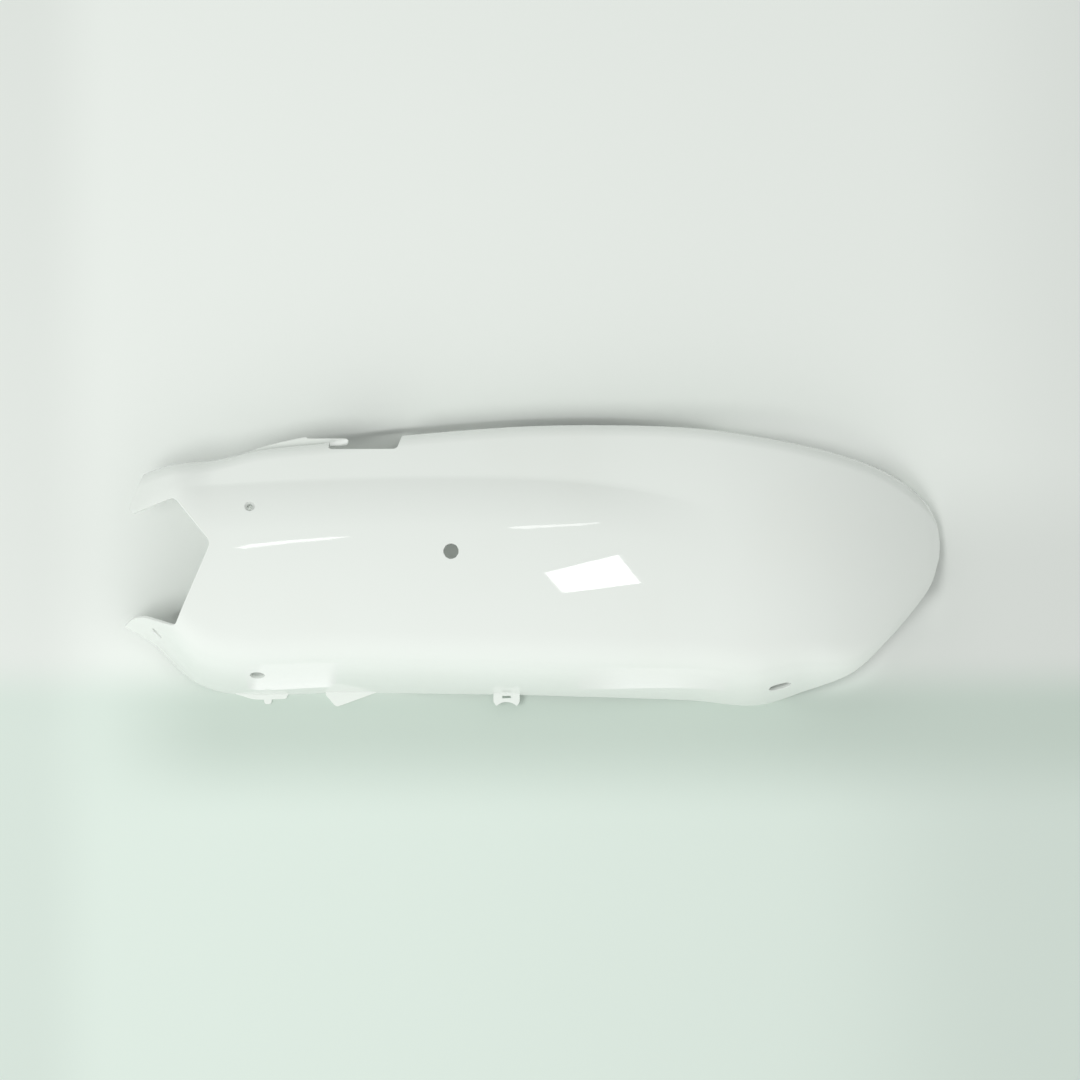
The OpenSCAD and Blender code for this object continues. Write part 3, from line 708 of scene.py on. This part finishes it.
class SIDEPANEL_OT_shell(bpy.types.Operator):
    """Builds the moulded shell with its V, notch and holes"""

    bl_idname = "side_panel.shell"
    bl_label = "Moulded shell"

    def execute(self, context):
        sizes = context.scene.side_panel_sizes
        form = ShellForm(sizes)
        holes = holes_of(form, sizes)
        vee, notch = vee_path(form, sizes), notch_path(form, sizes)
        edge = sizes.edge_round * 1000

        def room(p):
            """Least distance to the V, the notch and the holes, in plan or in the hole's own frame."""
            d = np.minimum(outline_distance(p, vee), outline_distance(p, notch))
            for (centre, steep, level, n), r, half, _, _ in holes.values():
                o = p - centre
                ring = np.hypot(o @ steep, np.maximum(np.abs(o @ level) - half, 0)) - r
                d = np.where(np.abs(o @ n) < 14, np.minimum(d, ring), d)
            return d

        us = form.even_stations(sizes.columns)
        ts = np.arange(form.stops[-1] + 1.0)
        u, t, faces = trimmed(form.outer, us, ts, room, edge)
        shell = moulded(form.outer(u, t), form.normal(u, t), faces, form.wall, edge, floor=0.0)
        put_mesh("shell", shell, form)
        return {"FINISHED"}


class SIDEPANEL_OT_bosses(bpy.types.Operator):
    """Builds the bosses round the holes and the gussets under the seat edge"""

    bl_idname = "side_panel.bosses"
    bl_label = "Bosses and gussets"

    def execute(self, context):
        sizes = context.scene.side_panel_sizes
        form = ShellForm(sizes)
        holes = holes_of(form, sizes)
        parts = []
        for name in ("middle", "front", "oval"):
            deep, wide = holes[name][3:]
            parts.append(collar(holes[name], [
                (0.02, 1.6), (0.02, deep - 0.4), (0.15, deep - 0.1), (0.5, deep), (wide - 0.6, deep),
                (wide - 0.15, deep - 0.2), (wide, deep - 0.6), (wide + 0.15, 2.9), (wide + 0.2, 1.6)]))
        parts.append(collar(holes["screw"], [
            (0.1, 0.5), (-0.05, 0.45), (-1.6, 1.75), (-1.7, 1.9), (-1.7, 6.7), (-1.5, 7), (1.9, 7),
            (2.2, 6.7), (2.3, 1.6), (2.2, 1.2)]))
        thick = 2.0
        for x in np.linspace(-84, 168, 5) * form.kx:
            u = form.station_through(x, float(form.edge_y(x, 0)))
            s = form.station(u)
            r, w, y0 = form.seat_radius * s[3], s[2], s[0][1]
            q0 = w - r - form.seat_flare * s[3]
            top = float(form.height_at(s, q0 + r)) - r
            q = np.linspace(w - 30, q0, 8)
            a = np.radians(np.linspace(12, 90, 7))
            inside = r - form.wall * 0.55
            path = np.concatenate([
                np.stack([y0 + q, form.height_at(s, q) - form.wall * 0.6], 1),
                np.stack([y0 + q0 + inside * np.sin(a), top + inside * np.cos(a)], 1),
                [[y0 + q0 + r - form.wall * 0.5, top - 21]]])
            axes = np.array([[0.0, 1, 0], [0, 0, 1], [1, 0, 0]])
            parts.append(moved(plate(path, thick, 1.6, 0.4), np.array([x - thick / 2, 0, 0]), axes))
        put_mesh("bosses", joined(parts), form, hidden=True)
        return {"FINISHED"}


class SIDEPANEL_OT_tabs(bpy.types.Operator):
    """Builds the tongue, the fin tab, the nub and the clip bracket"""

    bl_idname = "side_panel.tabs"
    bl_label = "Tongue and tabs"

    def execute(self, context):
        form = ShellForm(context.scene.side_panel_sizes)
        kx, inset = form.kx, form.wall * 0.8
        notch_x, step = -168 * kx, -187 * kx
        x = np.linspace(-246 * kx, step, 25)
        seat = form.edge_y(x, 0)
        tip, r = notch_x + 16, 3.1
        mid = seat[-1] + 6.2 - 1.4 - r
        a = np.radians(np.linspace(90, -90, 13))
        tongue = np.concatenate([
            np.stack([x, seat - 2 + 8.2 * np.linspace(0, 1, 25) ** 0.8], 1), [[step + 0.6, mid + r]],
            np.stack([tip - r + r * np.cos(a), mid + r * np.sin(a)], 1), [[notch_x - 10, mid - r - 1]],
            np.stack([x, seat - 8], 1)[::-1]])
        x0 = -200 * kx
        root = float(form.face_over(x0, form.edge_y(x0, 0) - form.seat_radius))
        parts = [moved(plate(tongue, 3.0, 1.0, 0.6), np.array([0, 0, root - form.seat_radius - 12]))]

        x0 = -165 * kx
        y0 = float(form.edge_y(x0, 1))
        parts.append(plate(rounded([
            (x0 - 8.2, y0 + inset, 0), (x0 - 7.7, y0 - 2, 2), (x0 + 1, y0 - 11.9, 4),
            (x0 + 39.8, y0 + inset, 0)]), 3.0, 1.0, 0.5))
        x0 = -221 * kx
        a, b = np.linspace(x0 - 27.6, x0 + 18.4, 24), np.linspace(x0 + 15.2, x0 - 27.6, 24)
        below = 3.2 * ease(x0 - 28.6, x0 - 9.2, b)
        stub = np.concatenate([
            np.stack([a, form.edge_y(a, 1) + inset], 1), np.stack([b, form.edge_y(b, 1) - below], 1)])
        y0 = float(form.edge_y(x0, 1))
        nub = rounded([(x0 - 4, y0 + inset, 0), (x0 - 3, y0 - 7, 2.2), (x0 + 3, y0 - 7, 2.2),
                       (x0 + 4, y0 + inset, 0)])
        parts += [plate(stub, 2.98, 1.0, 0.5), plate(nub, 3.0, 0.6, 0.5)]
        x0 = -22 * kx
        y0 = float(form.edge_y(x0, 1))
        a = np.radians(np.linspace(0, 360, 48, endpoint=False))
        r = 12.1
        bite = np.stack([r * np.cos(a), -5.9 - r + r * np.sin(a)], 1)
        slot = np.array([(-3.5, -2.6), (3.5, -2.6), (3.5, -0.8), (-3.5, -0.8)])
        clip = plate(rounded([
            (-11, inset, 0), (-11, -5.7, 3), (-8.4, -9.5, 1.2), (8.4, -9.5, 1.2), (11, -5.7, 3),
            (11, inset, 0)]), 4.0, 0.5, 0.4, holes=(bite, slot))
        parts.append(moved(clip, np.array([x0, y0, form.rim_arch(x0, -150, 330) + 0.4])))
        put_mesh("tabs", joined(parts), form)
        return {"FINISHED"}


class SIDEPANEL_OT_stage(bpy.types.Operator):
    """Sets the floor, the soft light and the camera"""

    bl_idname = "side_panel.stage"
    bl_label = "Floor, light and camera"

    def execute(self, context):
        scene, stage = context.scene, context.scene.side_panel_stage
        self.floor(stage)
        self.room(scene, stage)
        self.lamp("key", (-0.75, -0.28, 1.7), (0, 0, 0), (0.7, 0.7), stage.key)
        self.lamp("under", (0.02, 0, 0.055), (0.02, 0, 0), (0.34, 0.1), stage.under)
        self.lamp("under_screw", (-0.233, 0.049, 0.045), (-0.233, 0.049, 0), (0.05, 0.05), stage.under * 0.25)
        self.glow("window", 1.5, [(0.012, 0.118), (0.091, 0.238), (0.115, 0.051), (0.031, -0.014)],
                  stage.glint)
        self.glow("strip_left", 0.45, [
            (-0.265, 0.085), (-0.252, 0.093), (-0.208, 0.105), (-0.181, 0.11), (-0.16, 0.113),
            (-0.181, 0.104), (-0.207, 0.098), (-0.241, 0.088), (-0.256, 0.083)], stage.glint * 0.5)
        self.glow("strip_right", 0.45, [
            (-0.023, 0.133), (-0.007, 0.145), (0.025, 0.168), (0.069, 0.212), (0.049, 0.174),
            (0.015, 0.14), (-0.003, 0.131)], stage.glint * 0.42)
        self.glow("card_left", 0.001, [(-0.238, -0.115), (-0.164, -0.112), (-0.164, -0.31), (-0.31, -0.5)],
                  stage.card, soft=0.12)
        self.glow("card_right", 0.001, [(0.039, -0.122), (0.157, -0.135), (0.157, -0.5), (0.036, -0.29)],
                  stage.card * 0.9, soft=0.4)
        self.glow("vee_shade", 0.012, [(-0.309, -0.042), (-0.288, -0.047), (-0.286, -0.033)], 0, shades=True)
        form, flag, edge = ShellForm(scene.side_panel_sizes), stage.flag * 1000, stage.edge_light
        self.edge_card("flag", form, 0, (-300, 225),
                       lambda x: flag * ease(-270, -160, x) * (1 - ease(40, 230, x)), 8, 0)
        self.edge_card("edge_light", form, 0, (90, 334),
                       lambda x: 12 * ease(95, 240, x) * (1 - 0.7 * ease(270, 325, x)), 11, edge)
        self.edge_card("edge_light_low", form, 1, (215, 334), lambda x: 9 * ease(200, 290, x), 9, edge * 0.9)
        camera, face_height = bpy.data.cameras.new("camera"), 0.03
        camera.lens, camera.clip_start, camera.clip_end = stage.lens, 0.1, 60
        eye = bpy.data.objects.new("camera", camera)
        distance = stage.frame_width * stage.lens / camera.sensor_width
        eye.location = (0.00635, 0.02158, face_height + distance)
        scene.collection.objects.link(eye)
        scene.camera = eye
        scene.view_settings.view_transform = "Standard"
        return {"FINISHED"}

    def staged(self, name, points, faces, m):
        """Mesh with one material, on the stage."""
        mesh = bpy.data.meshes.new(name)
        mesh.from_pydata(points, [], faces)
        mesh.materials.append(m)
        o = bpy.data.objects.new(name, mesh)
        bpy.context.scene.collection.objects.link(o)
        return o

    def floor(self, stage):
        """A level square sheet, its grid a function of two parameters from -1 to 1. Its tone changes
        smoothly along X and Y from the back to a band of painted shadow near the lower edge and to the
        front, and painted shade darkens it beyond the tail and past the nose."""
        side, half = 9, 3.2
        u, v = np.meshgrid(np.linspace(-1, 1, side), np.linspace(-1, 1, side), indexing="ij")
        points = np.stack([half * u, half * v, np.zeros_like(u)], -1).reshape(-1, 3)
        at = np.arange(side * side).reshape(side, side)
        faces = np.stack([at[:-1, :-1], at[1:, :-1], at[1:, 1:], at[:-1, 1:]], -1).reshape(-1, 4)
        m, tree, shader = new_material("pale_floor")
        shader.inputs["Roughness"].default_value = 1
        shader.inputs["Specular IOR Level"].default_value = 0
        patches = noise(tree, tree.nodes.new("ShaderNodeTexCoord").outputs["Object"], 3, 5)
        axes = coordinate_axes(tree, "Object")

        def slide(axis, low, high):
            """0 below low and 1 above high along an axis of the floor."""
            return smooth_range(tree, axes[axis], low, high)

        def dim(factor, tone, share):
            """Tone times share where factor is 1."""
            return mixed(tree, factor, tone, mixed(tree, 1, tone, (share,) * 3, "MULTIPLY"))

        far, near, front = tuple(stage.floor_back), tuple(stage.floor_painted_shadow), tuple(stage.floor_front)
        # painted shade: the two falloff shares below darken the floor beyond the tail and past the nose
        painted_falloff, mild_painted_falloff = stage.floor_painted_falloff, stage.floor_painted_falloff + 0.05
        # near carries the band of painted shadow before the lower edge; past the nose it gives way to the
        # front tone
        near = mixed(tree, slide("X", -0.4, -0.25), front, near)
        front = dim(slide("X", 0.2, 0.4), front, mild_painted_falloff)
        right = mixed(tree, slide("Y", 0.0, 0.1), dim(1, far, painted_falloff),
                      dim(slide("X", 0.3, 0.5), far, mild_painted_falloff))
        back = mixed(tree, slide("X", 0.24, 0.36), far, right)
        # painted shadow: the near band lies between Y -0.215 and -0.07, just before the lower edge
        tone = mixed(tree, slide("Y", -0.215, -0.135), front, near)
        tone = mixed(tree, slide("Y", -0.12, -0.07), tone, back)
        tone = dim(slide("X", -0.35, -0.42), tone, mild_painted_falloff)
        tree.links.new(dim(patches, tone, 0.98), shader.inputs["Base Color"])
        self.staged("floor", points.tolist(), faces.tolist(), m)

    def room(self, scene, stage):
        """World light, even but for two soft lobes: one adds its strength times the part of the
        direction that points to -Y, the other takes away along +X. What the camera and mirrors see
        of it is a plain near white."""
        world = scene.world = bpy.data.worlds.new("room")
        world.use_nodes = True
        tree = world.node_tree
        nodes, link = tree.nodes, tree.links.new
        light, seen = nodes["Background"], nodes.new("ShaderNodeBackground")
        light.inputs["Color"].default_value = (*LAMP_WHITE, 1)
        seen.inputs["Color"].default_value = (0.83, 0.87, 0.83, 1)
        axes, total = coordinate_axes(tree, "Generated"), stage.sky
        for axis, sign, share in (("Y", -1, stage.sky_front), ("X", 1, -stage.sky_right)):
            lobe = math_node(tree, "MULTIPLY", axes[axis], sign, clamp=True)
            total = math_node(tree, "MULTIPLY_ADD", lobe, share, total)
        link(total, light.inputs["Strength"])
        path, mix = nodes.new("ShaderNodeLightPath").outputs, nodes.new("ShaderNodeMixShader")
        either = math_node(tree, "ADD", path["Is Camera Ray"], path["Is Glossy Ray"], clamp=True)
        link(either, mix.inputs["Fac"])
        link(light.outputs["Background"], mix.inputs[1])
        link(seen.outputs["Background"], mix.inputs[2])
        link(mix.outputs["Shader"], nodes["World Output"].inputs["Surface"])

    def lamp(self, name, place, aim, size, power):
        """Soft rectangular lamp at place that faces aim. It lights, but isn't mirrored in the face."""
        data = bpy.data.lights.new(name, "AREA")
        data.shape, data.size, data.size_y, data.energy = "RECTANGLE", size[0], size[1], power
        data.color = LAMP_WHITE
        o = bpy.data.objects.new(name, data)
        z = unit(np.array(place, float) - np.array(aim, float))
        x = unit(np.cross([0.0, 1.0, 0.0], z))
        turn = np.eye(4)
        turn[:3, 0], turn[:3, 1], turn[:3, 2], turn[:3, 3] = x, np.cross(z, x), z, place
        o.matrix_world = Matrix([list(row) for row in turn])
        o.visible_camera = o.visible_glossy = False
        bpy.context.scene.collection.objects.link(o)

    def edge_card(self, name, form, side, span, width, height, strength):
        """Strip of card over the floor, outside the seat edge (side 0) or the lower edge (side 1) from
        span[0] to span[1]. Its width in mm is given over x. Strength 0 makes a dark card that shades
        the floor, any other a card that shines down on it. No camera or mirror ray meets either."""
        count, gap = 60, 1.5
        x = np.linspace(*span, count)
        y = form.edge_y(x, side)
        slope = np.gradient(y, x)
        out = np.stack([-slope, np.ones_like(x)], 1) / np.hypot(slope, 1)[:, None] * (1 - 2 * side)
        edges = [np.c_[np.stack([x, y], 1) + out * (gap + k * width(x)[:, None]), np.full_like(x, height)]
                 + form.shift for k in (0, 1)]
        at = np.arange(count - 1)
        corners = [at, at + count, at + count + 1, at + 1]
        faces = np.stack(corners if side == 0 else [corners[k] for k in (0, 3, 2, 1)], 1)
        m, tree, shader = new_material(name)
        shader.inputs["Base Color"].default_value = (0.02, 0.02, 0.02, 1)
        shader.inputs["Specular IOR Level"].default_value = 0
        shader.inputs["Emission Color"].default_value = (*LAMP_WHITE, 1)
        back = tree.nodes.new("ShaderNodeNewGeometry").outputs["Backfacing"]
        shine = math_node(tree, "MULTIPLY_ADD", back, -strength, strength)
        tree.links.new(shine, shader.inputs["Emission Strength"])
        o = self.staged(name, (np.concatenate(edges) * 0.001).tolist(), faces.tolist(), m)
        o.visible_camera = o.visible_glossy = False
        o.visible_shadow = strength == 0

    def glow(self, name, height, corners, strength, shades=False, soft=0):
        """Small level card that only the gloss of the face shows, or one that only shades. It fades
        to the floor's brightness over the share soft of its length at both ends along X."""
        m, tree, shader = new_material(name)
        tree.nodes.remove(shader)
        light = tree.nodes.new("ShaderNodeEmission")
        tree.links.new(light.outputs["Emission"], tree.nodes["Material Output"].inputs["Surface"])
        if soft:
            low, high = corners[0][0], corners[1][0]
            reach, floor = soft * (high - low), 0.7
            x = coordinate_axes(tree, "Object")["X"]
            both = math_node(tree, "MULTIPLY", smooth_range(tree, x, low, low + reach),
                             smooth_range(tree, x, high, high - reach))
            strength = math_node(tree, "MULTIPLY_ADD", both, strength - floor, floor)
        feed(tree, strength, light.inputs["Strength"])
        o = self.staged(name, [(*c, height) for c in corners], [tuple(range(len(corners)))], m)
        o.visible_camera = o.visible_transmission = False
        o.visible_diffuse = o.visible_shadow = shades
        o.visible_glossy = not shades


class SIDEPANEL_PT_tools(bpy.types.Panel):
    """Lists the sizes, the looks and the builders"""

    bl_label = "Side panel"
    bl_idname = "SIDEPANEL_PT_tools"
    bl_space_type = "VIEW_3D"
    bl_region_type = "UI"
    bl_category = "Side panel"

    def draw(self, context):
        scene = context.scene
        for group in (scene.side_panel_sizes, scene.side_panel_looks, scene.side_panel_stage):
            box = self.layout.box()
            for key in group.__annotations__:
                box.prop(group, key)
        for operator in BUILDERS:
            self.layout.operator(operator.bl_idname)


GROUPS = {"side_panel_sizes": SidePanelSizes, "side_panel_looks": SidePanelLooks,
          "side_panel_stage": SidePanelStage}
BUILDERS = (SIDEPANEL_OT_shell, SIDEPANEL_OT_bosses, SIDEPANEL_OT_tabs, SIDEPANEL_OT_stage)


def register():
    for cls in (*GROUPS.values(), *BUILDERS, SIDEPANEL_PT_tools):
        bpy.utils.register_class(cls)
    for key, cls in GROUPS.items():
        setattr(bpy.types.Scene, key, PointerProperty(type=cls))


def unregister():
    for key in GROUPS:
        delattr(bpy.types.Scene, key)
    for cls in (SIDEPANEL_PT_tools, *reversed(BUILDERS), *reversed(GROUPS.values())):
        bpy.utils.unregister_class(cls)


def main():
    """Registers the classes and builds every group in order."""
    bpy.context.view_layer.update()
    register()
    bpy.ops.side_panel.shell()
    bpy.ops.side_panel.bosses()
    bpy.ops.side_panel.tabs()
    bpy.ops.side_panel.stage()


if __name__ == "__main__":
    main()
